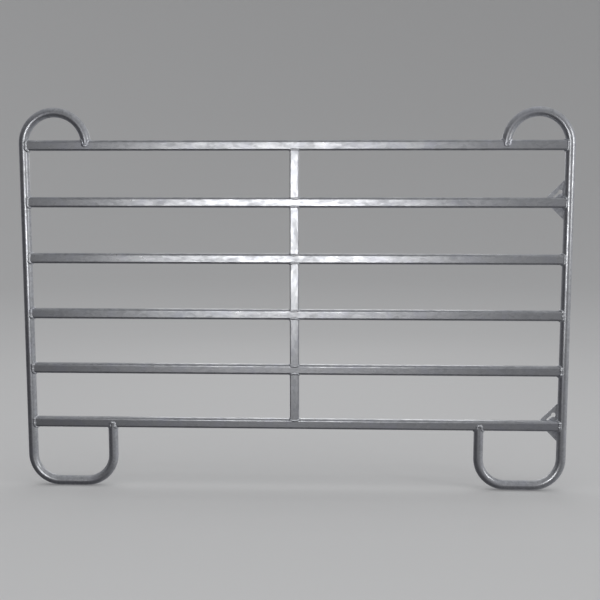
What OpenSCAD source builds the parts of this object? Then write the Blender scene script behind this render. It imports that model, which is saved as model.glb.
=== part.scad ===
// Livestock panel gate: a welded, hot-dip galvanised steel panel for cattle, sheep and pig pens.
// Two side frames, each bent from one round tube, carry six rails of rounded box tube, a centre
// post made of five short lengths of box tube, and two chain plates on one side.
// Millimetres, +Z up. The origin is on the ground, in the middle of the width, on the tube axes.
// The front of the panel faces -Y. The chain plates are on the back, at the +X end.

/* [Panel] */
// Overall width, measured over the two uprights
panel_w = 2400; // [1800:50:3000]
// Height of the bottom rail's centre line above the ground
foot_h = 292; // [260:1:400]
// Distance between the centre lines of neighbouring rails
rail_pitch = 245; // [200:1:270]

/* [Side frames] */
// Outside diameter of the round tube
tube_d = 42.4; // [42.4:0.1:48.3]
// Wall thickness of the round tube
tube_t = 2.5; // [2:0.1:3.2]
// Radius of the arch at the top, measured to the tube's centre line
arch_r = 136; // [110:1:160]
// Height of the arch's centre above the top rail's centre line
arch_rise = 6; // [4:1:40]
// Width of the foot, from the upright's centre line to the leg's centre line
foot_w = 364; // [300:2:420]
// Bend radius of the two foot corners, measured to the tube's centre line
foot_r = 122; // [80:2:140]

/* [Rails and post] */
// Height of a rail
rail_high = 45; // [40:1:50]
// Outside corner radius of the rails' box tube
rail_r = 10; // [6:0.5:12]
// Width of the post
post_w = 40; // [36:1:50]
// Outside corner radius of the post's box tube
post_r = 5; // [3.5:0.5:7]
// Depth of the rails and the post, front to back
rail_deep = 36; // [30:1:40]
// Wall thickness of the rails and the post
rail_t = 2; // [1.5:0.1:3]

/* [Chain plates] */
// Thickness of the plate
plate_t = 6; // [4:0.5:8]
// Distance from the plate's apex to its long upright edge
plate_d = 90; // [86:1:104]
// Height of the plate's apex above the rail's centre line
plate_rise = 12; // [0:1:12]
// Diameter of the round part of the keyhole
keyhole_d = 20; // [16:0.5:20]
// Width of the slot that holds one chain link
slot_w = 9; // [6:0.5:10]

/* [Hidden] */
$fn = 96;
tube_r = tube_d / 2;
// the uprights' centre lines stand at plus and minus this X
post_x = panel_w / 2 - tube_r;
// centre line of rail n, counted 1 to 6 from the top
function rail_z(n) = foot_h + (6 - n) * rail_pitch;
arch_z = rail_z(1) + arch_rise;
foot_bend_z = tube_r + foot_r;
// length of the level tube between the two foot bends
foot_flat = foot_w - 2 * foot_r;
// the short post lengths fill the clear height between two rails
post_len = rail_pitch - rail_high;
// the plate's long edge stops this far short of the upright's centre line, for the weld
plate_gap = 12;
// the keyhole, from the plate's apex: round hole's centre, then the slot's angle and length
hole_in = 68;
hole_up = 34;
slot_angle = 40;
slot_len = 33;
zinc_a = [0.70, 0.71, 0.73];
zinc_b = [0.63, 0.65, 0.67];
zinc_c = [0.55, 0.57, 0.60];

// the round tube's wall in section
module tube_ring() {
  difference() {
    circle(r = tube_r);
    circle(r = tube_r - tube_t);
  }
}

// a straight length of round tube, standing up from z = from to z = to
module tube_upright(x, from, to) {
  translate([x, 0, from])
    linear_extrude(to - from)
      tube_ring();
}

// a bend in the X-Z plane about (x, z), turning from angle a through angle sweep
module tube_bend(x, z, bend_r, a, sweep) {
  translate([x, 0, z])
    rotate([90, 0, 0])
      rotate([0, 0, a])
        rotate_extrude(angle = sweep)
          translate([bend_r, 0])
            tube_ring();
}

// a filled oblong of w by h with rounded corners
module box_outline(w, h, r) {
  square([w, h - 2 * r], center = true);
  square([w - 2 * r, h], center = true);
  for (i = [-1, 1], j = [-1, 1])
    translate([i * (w / 2 - r), j * (h / 2 - r)])
      circle(r = r);
}

// the wall of a box tube in section
module box_ring(w, h, r) {
  difference() {
    box_outline(w, h, r);
    box_outline(w - 2 * rail_t, h - 2 * rail_t, r - rail_t);
  }
}

// the solid envelope of rail n near x, to cope a tube end that sits over it
module rail_envelope(n, x) {
  translate([x - foot_r, 0, rail_z(n)])
    rotate([90, 0, 90])
      linear_extrude(2 * foot_r)
        box_outline(rail_deep, rail_high, rail_r);
}

// one side frame: arch, upright, two foot bends and leg, bent from a single tube
// it is drawn for the +X side; its free ends straddle the top and bottom rails
module side_frame() {
  difference() {
    union() {
      tube_upright(post_x - 2 * arch_r, rail_z(1), arch_z);
      tube_bend(post_x - arch_r, arch_z, arch_r, 0, 180);
      tube_upright(post_x, foot_bend_z, arch_z);
      tube_bend(post_x - foot_r, foot_bend_z, foot_r, -90, 90);
      translate([post_x - foot_r - foot_flat, 0, tube_r])
        rotate([90, 0, 90])
          linear_extrude(foot_flat)
            tube_ring();
      tube_bend(post_x - foot_w + foot_r, foot_bend_z, foot_r, 180, 90);
      tube_upright(post_x - foot_w, foot_bend_z, rail_z(6));
    }
    rail_envelope(1, post_x - 2 * arch_r);
    rail_envelope(6, post_x - foot_w);
  }
}

module left_side_frame() {
  color(zinc_a)
    mirror([1, 0, 0])
      side_frame();
}

module right_side_frame() {
  color(zinc_a)
    side_frame();
}

// one full-width rail, both ends coped to sit against the round uprights
module rail(n) {
  difference() {
    translate([-post_x, 0, rail_z(n)])
      rotate([90, 0, 90])
        linear_extrude(2 * post_x)
          box_ring(rail_deep, rail_high, rail_r);
    for (side = [-1, 1])
      translate([side * post_x, 0, rail_z(n) - rail_high])
        cylinder(r = tube_r, h = 2 * rail_high);
  }
}

module top_rail() {
  color(zinc_b)
    rail(1);
}

module second_rail() {
  color(zinc_b)
    rail(2);
}

module third_rail() {
  color(zinc_b)
    rail(3);
}

module fourth_rail() {
  color(zinc_b)
    rail(4);
}

module fifth_rail() {
  color(zinc_b)
    rail(5);
}

module bottom_rail() {
  color(zinc_b)
    rail(6);
}

// the post's short length under rail n, cut square at both ends
module post_length(n) {
  translate([0, 0, rail_z(n + 1) + rail_high / 2])
    linear_extrude(post_len)
      box_ring(post_w, rail_deep, post_r);
}

module post_length_1() {
  color(zinc_a)
    post_length(1);
}

module post_length_2() {
  color(zinc_a)
    post_length(2);
}

module post_length_3() {
  color(zinc_a)
    post_length(3);
}

module post_length_4() {
  color(zinc_a)
    post_length(4);
}

module post_length_5() {
  color(zinc_a)
    post_length(5);
}

// the keyhole's outline, measured from the plate's apex
module keyhole() {
  translate([hole_in, hole_up]) {
    circle(d = keyhole_d);
    rotate(180 + slot_angle) {
      translate([0, -slot_w / 2])
        square([slot_len, slot_w]);
      translate([slot_len, 0])
        circle(d = slot_w);
    }
  }
}

// a triangular chain plate on the back of rail n, its apex a little above the rail's centre line
module chain_plate(n) {
  translate([post_x - plate_gap - plate_d, rail_deep / 2 + plate_t, rail_z(n) + plate_rise])
    rotate([90, 0, 0])
      linear_extrude(plate_t)
        difference() {
          polygon([[0, 0], [plate_d, -plate_d], [plate_d, plate_d]]);
          keyhole();
        }
}

module upper_chain_plate() {
  color(zinc_c)
    chain_plate(2);
}

module lower_chain_plate() {
  color(zinc_c)
    chain_plate(6);
}

left_side_frame();
right_side_frame();
top_rail();
second_rail();
third_rail();
fourth_rail();
fifth_rail();
bottom_rail();
post_length_1();
post_length_2();
post_length_3();
post_length_4();
post_length_5();
upper_chain_plate();
lower_chain_plate();
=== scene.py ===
import bpy
import numpy as np
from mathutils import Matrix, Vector


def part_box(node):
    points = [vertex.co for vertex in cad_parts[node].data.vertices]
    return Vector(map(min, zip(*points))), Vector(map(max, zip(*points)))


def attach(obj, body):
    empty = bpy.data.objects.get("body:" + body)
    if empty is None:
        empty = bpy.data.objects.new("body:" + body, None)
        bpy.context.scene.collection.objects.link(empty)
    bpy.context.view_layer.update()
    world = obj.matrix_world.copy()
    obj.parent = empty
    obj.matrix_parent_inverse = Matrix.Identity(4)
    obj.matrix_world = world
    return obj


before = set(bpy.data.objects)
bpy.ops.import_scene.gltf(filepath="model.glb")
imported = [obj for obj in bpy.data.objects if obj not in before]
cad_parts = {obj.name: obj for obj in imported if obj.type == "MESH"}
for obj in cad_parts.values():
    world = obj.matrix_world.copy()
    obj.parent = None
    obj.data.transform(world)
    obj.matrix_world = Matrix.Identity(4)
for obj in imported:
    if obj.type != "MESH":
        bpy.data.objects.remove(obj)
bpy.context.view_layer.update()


# ---------------------------------------------------------------------------------------------
# The studio: a plain pale floor that curves up into a round backdrop, and a dim sky that the metal
# mirrors in place of the floor. The viewer stands in front, a little to the right and below the top
# rail's height; soft lamps stand by the viewer, to the right, behind the panel and overhead.
floor_flat = 9.0
floor_rise = 6.0
floor_pale = (0.60, 0.60, 0.60, 1.0)
floor_rough = 0.9
floor_shine = 0.2
floor_glow = 0.16
sky_dim = (0.064, 0.064, 0.070, 1.0)
sky_pale = (0.42, 0.425, 0.435, 1.0)
sky_toward = (0.9, 0.6, 0.9)
sky_reach = 1.1
eye = (0.195, -4.351, 1.377)
eye_down = np.radians(6.95)
eye_left = np.radians(2.25)
lens_length = 60.0
film_width = 36.0

# A colour Mix node's sockets: the share, the two colours, and the colour that comes out.
mix_share = 0
mix_first = 6
mix_second = 7
mixed = 2


def cove(flat, rise, turns=96, steps=24):
    """A disc of radius flat whose edge sweeps up through a quarter circle of radius rise: r = flat +
    rise sin(sweep) and z = rise (1 - cos(sweep)), turned about the vertical; faces inward."""
    sweep = np.linspace(0.0, np.pi / 2, steps)
    radius = np.concatenate([[0.5 * flat], flat + rise * np.sin(sweep)])
    height = np.concatenate([[0.0], rise * (1 - np.cos(sweep))])
    turn = np.linspace(0.0, 2 * np.pi, turns, endpoint=False)
    ring = np.stack([np.cos(turn), np.sin(turn)], axis=1)
    level = np.broadcast_to(height[:, None, None], (steps + 1, turns, 1))
    points = np.concatenate([radius[:, None, None] * ring, level], axis=-1)
    i = np.arange(steps)[:, None] * turns
    j = np.arange(turns)[None, :]
    after = (j + 1) % turns
    quads = np.stack([i + j, i + turns + j, i + turns + after, i + after], axis=-1).reshape(-1, 4)
    mesh = bpy.data.meshes.new("floor")
    mesh.from_pydata(points.reshape(-1, 3).tolist(), [], quads.tolist() + [list(range(turns))])
    mesh.shade_smooth()
    return mesh


floor_mesh = cove(floor_flat, floor_rise)
floor = bpy.data.objects.new("floor", floor_mesh)
bpy.context.scene.collection.objects.link(floor)
floor_look = bpy.data.materials.new("floor_paint")
floor_look.use_nodes = True
floor_shader = floor_look.node_tree.nodes["Principled BSDF"]
floor_shader.inputs["Base Color"].default_value = floor_pale
floor_shader.inputs["Roughness"].default_value = floor_rough
floor_shader.inputs["Specular IOR Level"].default_value = floor_shine
floor_shader.inputs["Emission Color"].default_value = floor_pale
floor_shader.inputs["Emission Strength"].default_value = floor_glow
floor_mesh.materials.append(floor_look)
floor.visible_glossy = False

sky = bpy.data.worlds.new("sky")
sky.use_nodes = True
sky_nodes = sky.node_tree.nodes
sky_link = sky.node_tree.links.new
sky_place = sky_nodes.new("ShaderNodeTexCoord")
sky_side = sky_nodes.new("ShaderNodeVectorMath")
sky_side.operation = "DOT_PRODUCT"
sky_side.inputs[1].default_value = sky_toward
sky_share = sky_nodes.new("ShaderNodeMapRange")
sky_share.inputs["From Min"].default_value = -sky_reach
sky_share.inputs["From Max"].default_value = sky_reach
sky_mix = sky_nodes.new("ShaderNodeMix")
sky_mix.data_type = "RGBA"
sky_mix.inputs[mix_first].default_value = sky_dim
sky_mix.inputs[mix_second].default_value = sky_pale
sky_link(sky_place.outputs["Generated"], sky_side.inputs[0])
sky_link(sky_side.outputs["Value"], sky_share.inputs["Value"])
sky_link(sky_share.outputs[0], sky_mix.inputs[mix_share])
sky_link(sky_mix.outputs[mixed], sky_nodes["Background"].inputs["Color"])
bpy.context.scene.world = sky
bpy.context.scene.view_settings.view_transform = "Standard"

viewer = bpy.data.cameras.new("viewer")
viewer.sensor_width = film_width
viewer.lens = lens_length
viewer_stand = bpy.data.objects.new("viewer", viewer)
viewer_stand.location = eye
viewer_stand.rotation_euler = (np.pi / 2 - eye_down, 0.0, eye_left)
bpy.context.scene.collection.objects.link(viewer_stand)
bpy.context.scene.camera = viewer_stand


def soft_lamp(name, place, aim, width, height, power, spread=90.0, mirrored=True):
    """A rectangular soft lamp at place, its face turned to the point aim, its light kept within
    spread degrees. It isn't seen itself, and shiny metal mirrors it only where mirrored is set."""
    lamp = bpy.data.lights.new(name, "AREA")
    lamp.shape = "RECTANGLE"
    lamp.size = width
    lamp.size_y = height
    lamp.energy = power
    lamp.spread = np.radians(spread)
    stand = bpy.data.objects.new(name, lamp)
    stand.location = place
    stand.rotation_euler = (Vector(aim) - Vector(place)).to_track_quat("-Z", "Y").to_euler()
    stand.visible_camera = False
    stand.visible_glossy = mirrored
    bpy.context.scene.collection.objects.link(stand)


soft_lamp("front_lamp", (-0.33, -4.9, 1.0), (0.0, 0.0, 1.15), 1.6, 0.6, 7.2)
soft_lamp("right_lamp", (4.5, -2.1, 1.9), (0.0, 0.0, 1.1), 1.1, 1.3, 4.8)
soft_lamp("back_lamp", (0.0, 5.5, 2.0), (0.0, 0.0, 0.8), 3.4, 0.9, 4.4)
soft_lamp("floor_lamp", (0.0, 0.0, 7.0), (0.0, 0.0, 0.0), 9.0, 9.0, 175.0, 180.0, mirrored=False)

# ---------------------------------------------------------------------------------------------
# The side frames: each is one round steel tube, bent cold into an arch, an upright and a foot,
# then dipped in molten zinc with the rest of the panel. The zinc sets in soft grey clouds with
# a faint crystal pattern, and is a little paler on the round tube than on the box tube.
zinc_pale = (0.77, 0.78, 0.80)
zinc_dull = (0.44, 0.45, 0.475)
zinc_blue = (0.60, 0.61, 0.70, 1.0)
dull_tone = 0.42
pale_tone = 0.98
blue_from = 0.5
blue_full = 0.75
blue_most = 0.45
drift_scale = 2.6
blue_scale = 13.0
grain_scale = 420.0
lump_height = 0.0009


def dipped_zinc(name, smooth, rough, crystal=110.0, clouds=34.0, drawn=(1.0, 1.0, 1.0), lumps=0.35,
                tint=1.0):
    """Hot-dip zinc. Tone = 0.75 clouds + 0.22 crystals + 0.35 drift + 0.12 grain, and runs from dull
    to pale grey with a patchy blue cast. Pale zinc is smooth and dull zinc rough, and the clouds, with
    a little grain, stand up as low lumps. drawn stretches the pattern along the tube; tint scales
    the greys."""
    look = bpy.data.materials.new(name)
    look.use_nodes = True
    nodes = look.node_tree.nodes
    link = look.node_tree.links.new
    shader = nodes["Principled BSDF"]
    shader.inputs["Metallic"].default_value = 1.0

    place = nodes.new("ShaderNodeTexCoord")
    stretch = nodes.new("ShaderNodeMapping")
    stretch.inputs["Scale"].default_value = drawn
    link(place.outputs["Object"], stretch.inputs["Vector"])

    def cloud(scale, detail, stretched=True):
        """Fractal noise with scale clouds to the metre, drawn out along the tube if stretched."""
        noise = nodes.new("ShaderNodeTexNoise")
        noise.inputs["Scale"].default_value = scale
        noise.inputs["Detail"].default_value = detail
        noise.inputs["Roughness"].default_value = 0.6
        link(stretch.outputs[0] if stretched else place.outputs["Object"], noise.inputs["Vector"])
        return noise.outputs["Fac"]

    def add_up(parts):
        """The sum of value times weight over parts."""
        total = None
        for value, weight in parts:
            times = nodes.new("ShaderNodeMath")
            times.operation = "MULTIPLY_ADD"
            link(value, times.inputs[0])
            times.inputs[1].default_value = weight
            times.inputs[2].default_value = 0.0
            if total is not None:
                link(total, times.inputs[2])
            total = times.outputs[0]
        return total

    mottle = cloud(clouds, 5.0)
    drift = cloud(drift_scale, 2.0, stretched=False)
    grain = cloud(grain_scale, 3.0)
    crystals = nodes.new("ShaderNodeTexVoronoi")
    crystals.inputs["Scale"].default_value = crystal
    link(stretch.outputs[0], crystals.inputs["Vector"])
    facet = nodes.new("ShaderNodeSeparateColor")
    link(crystals.outputs["Color"], facet.inputs[0])

    tone = add_up([(mottle, 0.75), (facet.outputs[0], 0.22), (drift, 0.35), (grain, 0.12)])
    ramp = nodes.new("ShaderNodeMapRange")
    ramp.inputs["From Min"].default_value = dull_tone
    ramp.inputs["From Max"].default_value = pale_tone
    link(tone, ramp.inputs["Value"])

    grey = nodes.new("ShaderNodeMix")
    grey.data_type = "RGBA"
    grey.inputs[mix_first].default_value = [tint * part for part in zinc_dull] + [1.0]
    grey.inputs[mix_second].default_value = [tint * part for part in zinc_pale] + [1.0]
    link(ramp.outputs[0], grey.inputs[mix_share])
    cast = nodes.new("ShaderNodeMapRange")
    cast.inputs["From Min"].default_value = blue_from
    cast.inputs["From Max"].default_value = blue_full
    cast.inputs["To Max"].default_value = blue_most
    link(cloud(blue_scale, 2.0, stretched=False), cast.inputs["Value"])
    skin = nodes.new("ShaderNodeMix")
    skin.data_type = "RGBA"
    skin.inputs[mix_second].default_value = zinc_blue
    link(cast.outputs[0], skin.inputs[mix_share])
    link(grey.outputs[mixed], skin.inputs[mix_first])
    link(skin.outputs[mixed], shader.inputs["Base Color"])

    sheen = nodes.new("ShaderNodeMapRange")
    sheen.inputs["To Min"].default_value = rough
    sheen.inputs["To Max"].default_value = smooth
    link(ramp.outputs[0], sheen.inputs["Value"])
    link(sheen.outputs[0], shader.inputs["Roughness"])

    bump = nodes.new("ShaderNodeBump")
    bump.inputs["Strength"].default_value = lumps
    bump.inputs["Distance"].default_value = lump_height
    link(add_up([(mottle, 1.0), (grain, 0.12), (facet.outputs[0], 0.05)]), bump.inputs["Height"])
    link(bump.outputs[0], shader.inputs["Normal"])
    return look


round_tube_zinc = dipped_zinc("round_tube_zinc", 0.27, 0.42, clouds=26.0, lumps=0.3, tint=1.1)
for frame_name in ("left_side_frame", "right_side_frame"):
    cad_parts[frame_name].data.materials[0] = round_tube_zinc

# ---------------------------------------------------------------------------------------------
# The rails and the short post lengths: rounded box tube sawn to length, the rails' ends coped to
# the round uprights. The tube's draw marks leave the zinc in clouds stretched along its length.
rail_names = ("top_rail", "second_rail", "third_rail", "fourth_rail", "fifth_rail", "bottom_rail")
post_names = tuple(f"post_length_{n}" for n in range(1, 6))
rail_zinc = dipped_zinc("rail_zinc", 0.27, 0.44, crystal=95.0, drawn=(0.5, 1.0, 1.0))
post_zinc = dipped_zinc("post_zinc", 0.29, 0.46, crystal=95.0, drawn=(1.0, 1.0, 0.5))
for rail_name in rail_names:
    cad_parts[rail_name].data.materials[0] = rail_zinc
for post_name in post_names:
    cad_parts[post_name].data.materials[0] = post_zinc

# ---------------------------------------------------------------------------------------------
# The two chain plates: flat steel cut to a triangle, with a keyhole for a chain, welded to the
# back of a rail and of the right upright. Plate takes a duller, coarser zinc than tube does.
plate_zinc = dipped_zinc("plate_zinc", 0.40, 0.60, crystal=150.0, clouds=60.0, lumps=0.5, tint=1.2)
plate_names = ("upper_chain_plate", "lower_chain_plate")
for plate_name in plate_names:
    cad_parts[plate_name].data.materials[0] = plate_zinc

# ---------------------------------------------------------------------------------------------
# The weld beads where the rails meet the uprights: one pass of wire right round each coped end,
# built up in small ripples and softened by the zinc that ran over it.
# The weld zinc's tint of 1.25 paints the beads paler than the tube: a painted sheen that stands in for the
# soft bright spots the beads catch from the lamps.
weld_zinc_and_painted_sheen = dipped_zinc("weld_zinc_and_painted_sheen", 0.34, 0.50, crystal=260.0, clouds=90.0, lumps=0.3, tint=1.25)
tube_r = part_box("right_side_frame")[1].y
upright_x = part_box("right_side_frame")[1].x - tube_r
rail_low, rail_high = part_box("second_rail")
rail_up = (rail_high.z - rail_low.z) / 2
rail_out = rail_high.y
rail_corner = 0.010
end_proud = 0.0038
end_proud_more = 0.0020
end_wide = 0.0078
bead_sides = 14
bead_swing = 0.08
ripple_pitch = 0.0090
ripple_middle = 0.6
end_closed = 0.998
end_blunt = 5
rightward = (1.0, 0.0, 0.0)


def rail_z(rail_name):
    """The height of a rail's centre line."""
    low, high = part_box(rail_name)
    return (low.z + high.z) / 2


def evenly(points, stations, closed):
    """The polyline through points, walked at equal steps: position as a function of length along it."""
    walk = np.vstack([points, points[:1]]) if closed else points
    length = np.concatenate([[0.0], np.cumsum(np.linalg.norm(np.diff(walk, axis=0), axis=1))])
    steps = np.linspace(0.0, length[-1], stations + closed)[:stations]
    return np.stack([np.interp(steps, length, walk[:, axis]) for axis in range(3)], axis=1)


def box_outline(half_u, half_v, corner):
    """A box tube's section: a quarter circle carried to each corner, as (u, v, 0) at equal steps, and
    the unit normal that points out of it there."""
    stations = 120
    quarter = np.linspace(0.0, np.pi / 2, 17)
    turn = quarter[None, :] + np.arange(4)[:, None] * np.pi / 2
    u = np.array([1, -1, -1, 1])[:, None] * (half_u - corner) + corner * np.cos(turn)
    v = np.array([1, 1, -1, -1])[:, None] * (half_v - corner) + corner * np.sin(turn)
    outline = evenly(np.stack([u.ravel(), v.ravel(), 0 * u.ravel()], axis=1), stations, True)
    step = np.roll(outline, -1, axis=0) - np.roll(outline, 1, axis=0)
    normal = np.stack([step[:, 1], -step[:, 0], step[:, 2]], axis=1)
    return outline, normal / np.linalg.norm(normal, axis=1, keepdims=True)


def bead(path, across, outward, wide, proud, seed, closed=True):
    """A weld bead: an ellipse carried along path, wide along across and proud along outward. Its size
    is 1 + a scalloped ripple |sin| + slow sine lumps; a bead with two ends is also shrunk towards them
    by the square root of 1 - |2 share - 1| to the power end_blunt, which rounds them off."""
    lumps = np.random.default_rng(seed)
    stations = len(path)
    share = np.arange(stations) / stations if closed else np.linspace(0.0, 1.0, stations)
    length = np.linalg.norm(np.diff(path, axis=0), axis=1).sum()
    scallops = max(2, round(length / ripple_pitch))
    size = 1.0 + bead_swing * (np.abs(np.sin(np.pi * scallops * share)) - ripple_middle)
    for waves in (1, 2, 4, 7):
        size += bead_swing * np.sin(2 * np.pi * (waves * share + lumps.random()))
    if not closed:
        size = size * np.sqrt(1.0 - end_closed * np.abs(2.0 * share - 1.0) ** end_blunt)
    around = np.linspace(0.0, 2 * np.pi, bead_sides, endpoint=False)
    flat = (wide * size)[:, None, None] * np.cos(around)[None, :, None] * across[:, None, :]
    high = (proud * size)[:, None, None] * np.sin(around)[None, :, None] * outward[:, None, :]
    return path[:, None, :] + flat + high, closed


def weld_piece(name, beads):
    """One mesh of several beads: each grid's neighbours joined into quads, open ends capped, and the
    quads turned over where the volume they enclose comes out negative."""
    points, faces, used = [], [], 0
    for grid, closed in beads:
        rows, columns = grid.shape[:2]
        i = np.arange(rows if closed else rows - 1)[:, None]
        j = np.arange(columns)[None, :]
        after_i = (i + 1) % rows
        after_j = (j + 1) % columns
        corners = (i * columns + j, i * columns + after_j, after_i * columns + after_j, after_i * columns + j)
        quads = np.stack(np.broadcast_arrays(*corners), axis=-1).reshape(-1, 4)
        flat = grid.reshape(-1, 3)
        centred = flat - flat.mean(axis=0)
        a, b, c, d = (centred[quads[:, k]] for k in range(4))
        inside = np.einsum("ij,ij->", a, np.cross(b, c)) + np.einsum("ij,ij->", a, np.cross(c, d))
        ends = [] if closed else [np.arange(columns)[::-1], (rows - 1) * columns + np.arange(columns)]
        if inside < 0:
            quads = quads[:, ::-1]
            ends = [end[::-1] for end in ends]
        points.append(flat)
        faces += (quads + used).tolist() + [(end + used).tolist() for end in ends]
        used += len(flat)
    mesh = bpy.data.meshes.new(name)
    mesh.from_pydata(np.vstack(points).tolist(), [], faces)
    mesh.shade_smooth()
    mesh.materials.append(weld_zinc_and_painted_sheen)
    piece = bpy.data.objects.new(name, mesh)
    bpy.context.scene.collection.objects.link(piece)
    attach(piece, "root")


rail_section, rail_section_out = box_outline(rail_out, rail_up, rail_corner)
rail_y, rail_rise = rail_section[:, 0], rail_section[:, 1]
cope = upright_x - np.sqrt(tube_r**2 - rail_y**2)
outward = rail_section_out[:, [2, 0, 1]]
across = np.broadcast_to(rightward, outward.shape)
proud = end_proud + end_proud_more * np.abs(rail_section_out[:, 1])
wide = np.full(len(cope), end_wide)
for side, side_name in ((-1, "left"), (1, "right")):
    end_beads = []
    for rail_number, rail_name in enumerate(rail_names):
        path = np.stack([side * cope, rail_y, rail_z(rail_name) + rail_rise], axis=1)
        end_beads.append(bead(path, across, outward, wide, proud, 10 * rail_number + side + 1))
    weld_piece(f"{side_name}_rail_end_welds", end_beads)

# ---------------------------------------------------------------------------------------------
# The weld beads round the post: each short length is welded to the rails above and below. On the
# front and the back the weld fills the gap over the rail's round shoulder, in the shape of a lens.
post_low, post_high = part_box("post_length_1")
post_out = post_high.x
post_corner = 0.005
post_proud = 0.0034
post_proud_more = 0.0010
post_wide = 0.0042
post_wide_more = 0.0022
sag_at_corner = 0.0022
sag_more = 0.0034
sunk = 0.0024
past_end = 0.0006
upward = (0.0, 0.0, 1.0)

post_section, post_section_out = box_outline(post_out, post_high.y, post_corner)
face = np.abs(post_section_out[:, 1])
sag = face * (sag_at_corner + sag_more * (1 - (post_section[:, 0] / post_out) ** 2))
across = np.broadcast_to(upward, post_section.shape)
proud = post_proud + post_proud_more * face
wide = post_wide + post_wide_more * face
post_beads = []
for post_number, post_name in enumerate(post_names):
    low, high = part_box(post_name)
    for toward_rail, end_z in ((-1, low.z), (1, high.z)):
        path = post_section - post_section_out * face[:, None] * sunk
        path[:, 2] = end_z + toward_rail * (sag + past_end)
        seed = 100 + 2 * post_number + toward_rail
        post_beads.append(bead(path, across, post_section_out, wide, proud, seed))
weld_piece("post_welds", post_beads)

# ---------------------------------------------------------------------------------------------
# The weld beads on the side frames' free ends: the tube's end is cut to straddle the rail, and
# the bead follows the cut, over the rail's top or bottom and down round the cheek on each face.
cheek_half = (tube_r**2 - rail_out**2) ** 0.5
saddle_proud = 0.0026
saddle_proud_more = 0.0016
saddle_wide = 0.0066
saddle_stations = 192


def saddle_bead(centre_x, centre_z, up, seed):
    """The cut end of a round tube over a box tube: x and y run round the tube's circle, z keeps to the
    rail's top and its round corner, and past the rail's face it dips in a rounded U."""
    turn = np.linspace(0.0, 2 * np.pi, 1440, endpoint=False)
    x = tube_r * np.cos(turn)
    y = tube_r * np.sin(turn)
    shoulder = rail_up - rail_corner
    over = np.clip(np.abs(y) - (rail_out - rail_corner), 0.0, rail_corner)
    on_rail = shoulder + np.sqrt(rail_corner**2 - over**2)
    dip = shoulder * (1 - (1 - np.clip(np.abs(x) / cheek_half, 0.0, 1.0) ** 3) ** (1 / 3))
    z = np.where(np.abs(y) > rail_out, dip, on_rail)
    path = evenly(np.stack([x, y, z], axis=1), saddle_stations, True)
    forward = np.roll(path, -1, axis=0) - np.roll(path, 1, axis=0)
    forward /= np.linalg.norm(forward, axis=1, keepdims=True)
    radial = path * [1, 1, 0] / np.linalg.norm(path[:, :2], axis=1, keepdims=True)
    radial -= forward * np.einsum("ij,ij->i", forward, radial)[:, None]
    radial /= np.linalg.norm(radial, axis=1, keepdims=True)
    across = np.cross(forward, radial)
    proud = saddle_proud + saddle_proud_more * np.abs(radial[:, 0])
    wide = np.full(saddle_stations, saddle_wide)
    grid, closed = bead(path, across, radial, wide, proud, seed)
    return grid * [1.0, 1.0, up] + [centre_x, 0.0, centre_z], closed


frame_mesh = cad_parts["right_side_frame"].data
frame_points = np.empty(len(frame_mesh.vertices) * 3, np.float32)
frame_mesh.vertices.foreach_get("co", frame_points)
frame_points = frame_points.reshape(-1, 3)
top_z = rail_z("top_rail")
bottom_z = rail_z("bottom_rail")
arch_x = frame_points[frame_points[:, 2] > bottom_z + rail_up][:, 0].min() + tube_r
leg_x = frame_points[:, 0].min() + tube_r
arch_beads = [saddle_bead(side * arch_x, top_z, 1.0, 200 + side) for side in (-1, 1)]
leg_beads = [saddle_bead(side * leg_x, bottom_z, -1.0, 210 + side) for side in (-1, 1)]
weld_piece("arch_end_welds", arch_beads)
weld_piece("leg_end_welds", leg_beads)

# ---------------------------------------------------------------------------------------------
# The weld beads on the chain plates: a long one down the upright, short ones where the plate
# crosses the rail's top and bottom edges, and one round the plate's point on the rail's back.
plated_rails = ("second_rail", "bottom_rail")
seam_gap = 0.002
seam_back = 0.0205
seam_short = 0.003
seam_wide = 0.0052
seam_proud = 0.0040
stitch_half = 0.011
stitch_inset = 0.006
stitch_sunk = 0.002
stitch_wide = 0.0050
stitch_proud = 0.0026
lower_stitches = (0.044, 0.072)
upper_stitches = (0.024, 0.066)
point_above = 0.005
point_below = 0.018
point_wide = 0.0042
point_proud = 0.0034
backward = (0.0, 1.0, 0.0)


def open_bead(points, across, outward, wide, proud, stations, seed):
    """A bead with two ends along the polyline through points, with the same section all along."""
    path = evenly(np.array(points, float), stations, False)
    along = np.ones((stations, 1))
    return bead(path, along * across, along * outward, wide * along[:, 0], proud * along[:, 0], seed, False)


plate_beads = []
for plate_number, plate_name in enumerate(plate_names):
    low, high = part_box(plate_name)
    point_z = (low.z + high.z) / 2
    middle = rail_z(plated_rails[plate_number])
    seed = 300 + 20 * plate_number
    seam_x = high.x + seam_gap
    seam = [(seam_x, seam_back, low.z + seam_short), (seam_x, seam_back, high.z - seam_short)]
    plate_beads.append(open_bead(seam, rightward, backward, seam_wide, seam_proud, 90, seed))
    for edge, places in ((-1, lower_stitches), (1, upper_stitches)):
        slant = (0.0, 0.6, -0.8 * edge)
        rise = (0.0, 0.8, 0.6 * edge)
        stitch_y = low.y - stitch_sunk
        stitch_z = middle + edge * (rail_up - stitch_inset)
        for place in places:
            seed += 1
            start = (low.x + place - stitch_half, stitch_y, stitch_z)
            end = (low.x + place + stitch_half, stitch_y, stitch_z)
            plate_beads.append(open_bead([start, end], slant, rise, stitch_wide, stitch_proud, 24, seed))
    point = [(low.x + point_above, low.y, point_z + point_above), (low.x, low.y, point_z)]
    point.append((low.x + point_below, low.y, point_z - point_below))
    plate_beads.append(open_bead(point, rightward, backward, point_wide, point_proud, 48, seed + 1))
weld_piece("chain_plate_welds", plate_beads)
